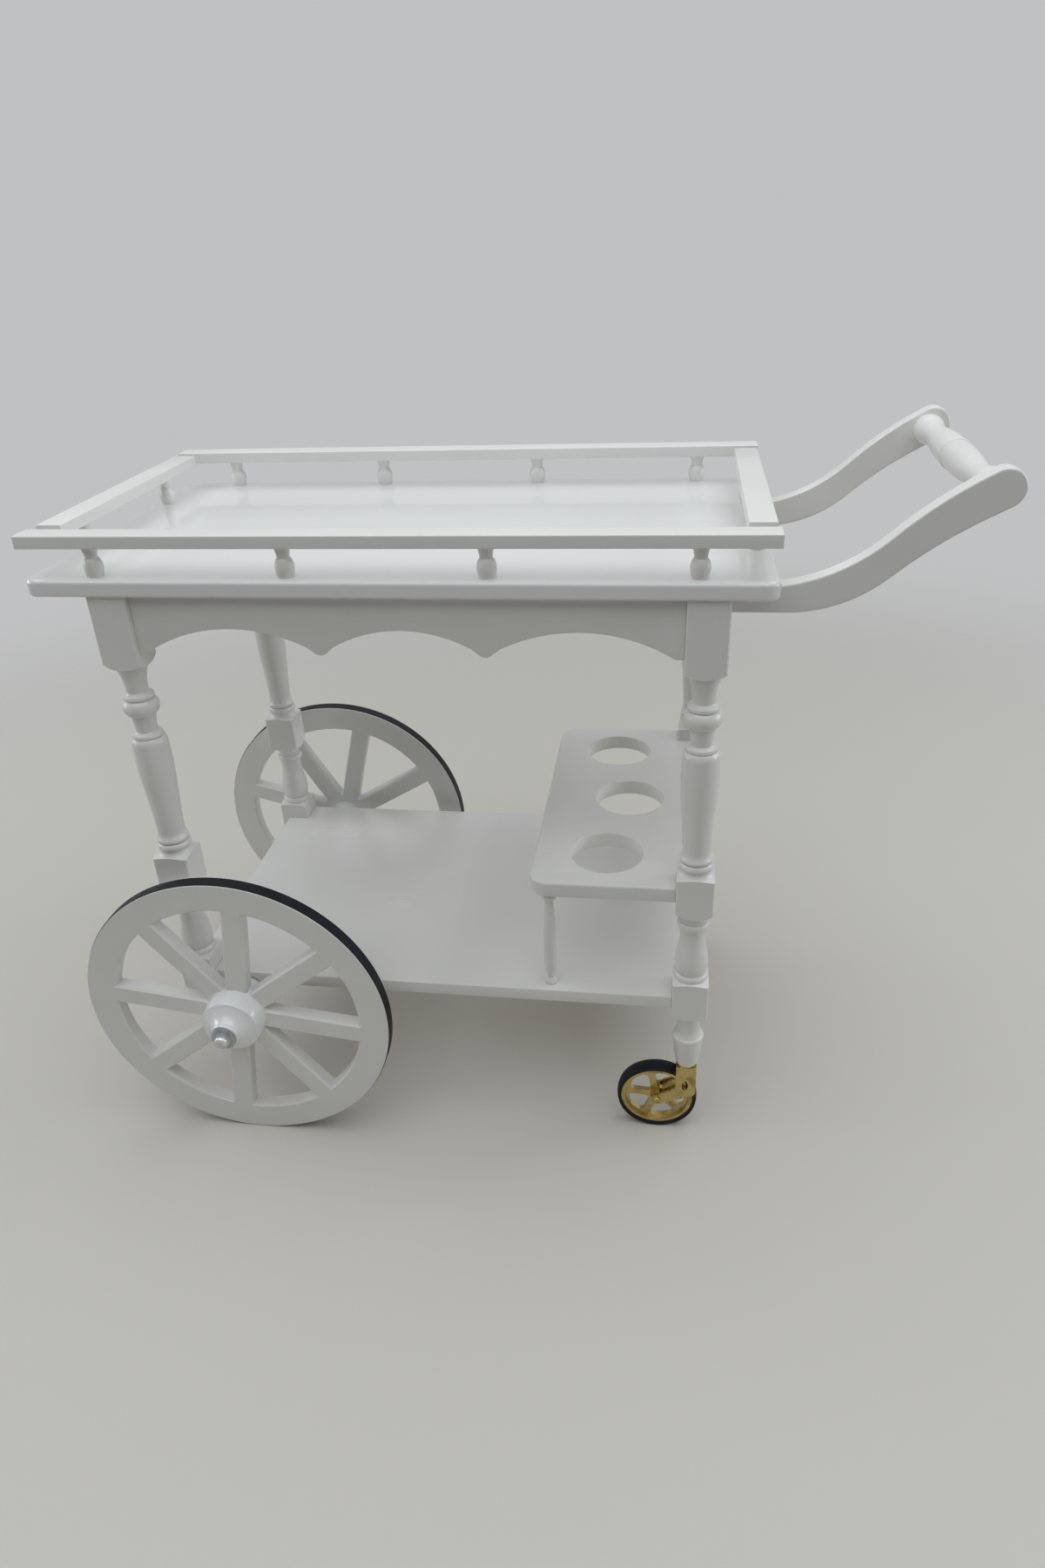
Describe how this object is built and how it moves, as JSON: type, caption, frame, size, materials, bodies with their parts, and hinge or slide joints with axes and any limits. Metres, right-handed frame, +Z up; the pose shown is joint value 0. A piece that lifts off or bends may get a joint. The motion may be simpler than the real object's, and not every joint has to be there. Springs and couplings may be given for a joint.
{
  "type": "serving cart",
  "caption": "White lacquered wooden serving cart: railed tray over a shelf with bottle rack, turned legs, large spoked wheels, brass swivel casters and a push handle.",
  "frame": {"origin": "on the floor, under the middle of the cart's bounding box", "axes": "+X along the cart towards the push handle, +Y across it towards its back, +Z up"},
  "size_m": [1.0688, 0.6342, 0.8621],
  "materials": {
    "lacquer": "white lacquer, semi-gloss",
    "brass": "polished",
    "rubber": "matt",
    "steel": "zinc plated"
  },
  "bodies": {
    "cart_frame": {"apron_back": "lacquer", "apron_front": "lacquer", "apron_left": "lacquer", "apron_right": "lacquer", "axle_beam": "lacquer", "axle_nuts": "steel", "axle_rod": "steel", "axle_washers": "steel", "bottle_rack": "lacquer", "bottle_rack_spindles": "lacquer", "caster_back_socket": "brass", "caster_front_socket": "brass", "gallery_rail_back": "lacquer", "gallery_rail_front": "lacquer", "gallery_rail_left": "lacquer", "gallery_rail_right": "lacquer", "gallery_spindles_back": "lacquer", "gallery_spindles_front": "lacquer", "gallery_spindles_left": "lacquer", "gallery_spindles_right": "lacquer", "handle_arm_back": "lacquer", "handle_arm_front": "lacquer", "handle_bar": "lacquer", "leg_back_left": "lacquer", "leg_back_right": "lacquer", "leg_front_left": "lacquer", "leg_front_right": "lacquer", "lower_shelf": "lacquer", "tray_top": "lacquer"},
    "front_wheel": {"wheel_front_rim": "lacquer", "wheel_front_spokes": "lacquer", "wheel_front_hub": "lacquer", "wheel_front_bush": "steel", "wheel_front_tyre": "rubber"},
    "front_caster_fork": {"caster_front_fork": "brass", "caster_front_stem": "brass", "caster_front_pin": "brass"},
    "front_caster_roller": {"caster_front_wheel": "brass", "caster_front_tyre": "rubber"},
    "back_wheel": {"wheel_back_rim": "lacquer", "wheel_back_spokes": "lacquer", "wheel_back_hub": "lacquer", "wheel_back_bush": "steel", "wheel_back_tyre": "rubber"},
    "back_caster_fork": {"caster_back_fork": "brass", "caster_back_stem": "brass", "caster_back_pin": "brass"},
    "back_caster_roller": {"caster_back_wheel": "brass", "caster_back_tyre": "rubber"}
  },
  "joints": [
    {"name": "front_wheel_spin", "type": "hinge", "parent": "cart_frame", "child": "front_wheel", "pos_m": [-0.33347, -0.251, 0.201], "axis": [0, 1, 0], "continuous": true},
    {"name": "front_caster_swivel", "type": "hinge", "parent": "cart_frame", "child": "front_caster_fork", "pos_m": [0.24253, -0.198, 0.11219], "axis": [0, 0, 1], "continuous": true},
    {"name": "front_caster_roll", "type": "hinge", "parent": "front_caster_fork", "child": "front_caster_roller", "pos_m": [0.20553, -0.198, 0.0525], "axis": [0, 1, 0], "continuous": true},
    {"name": "back_wheel_spin", "type": "hinge", "parent": "cart_frame", "child": "back_wheel", "pos_m": [-0.33347, 0.251, 0.201], "axis": [0, 1, 0], "continuous": true},
    {"name": "back_caster_swivel", "type": "hinge", "parent": "cart_frame", "child": "back_caster_fork", "pos_m": [0.24253, 0.198, 0.11219], "axis": [0, 0, 1], "continuous": true},
    {"name": "back_caster_roll", "type": "hinge", "parent": "back_caster_fork", "child": "back_caster_roller", "pos_m": [0.20553, 0.198, 0.0525], "axis": [0, 1, 0], "continuous": true}
  ]
}
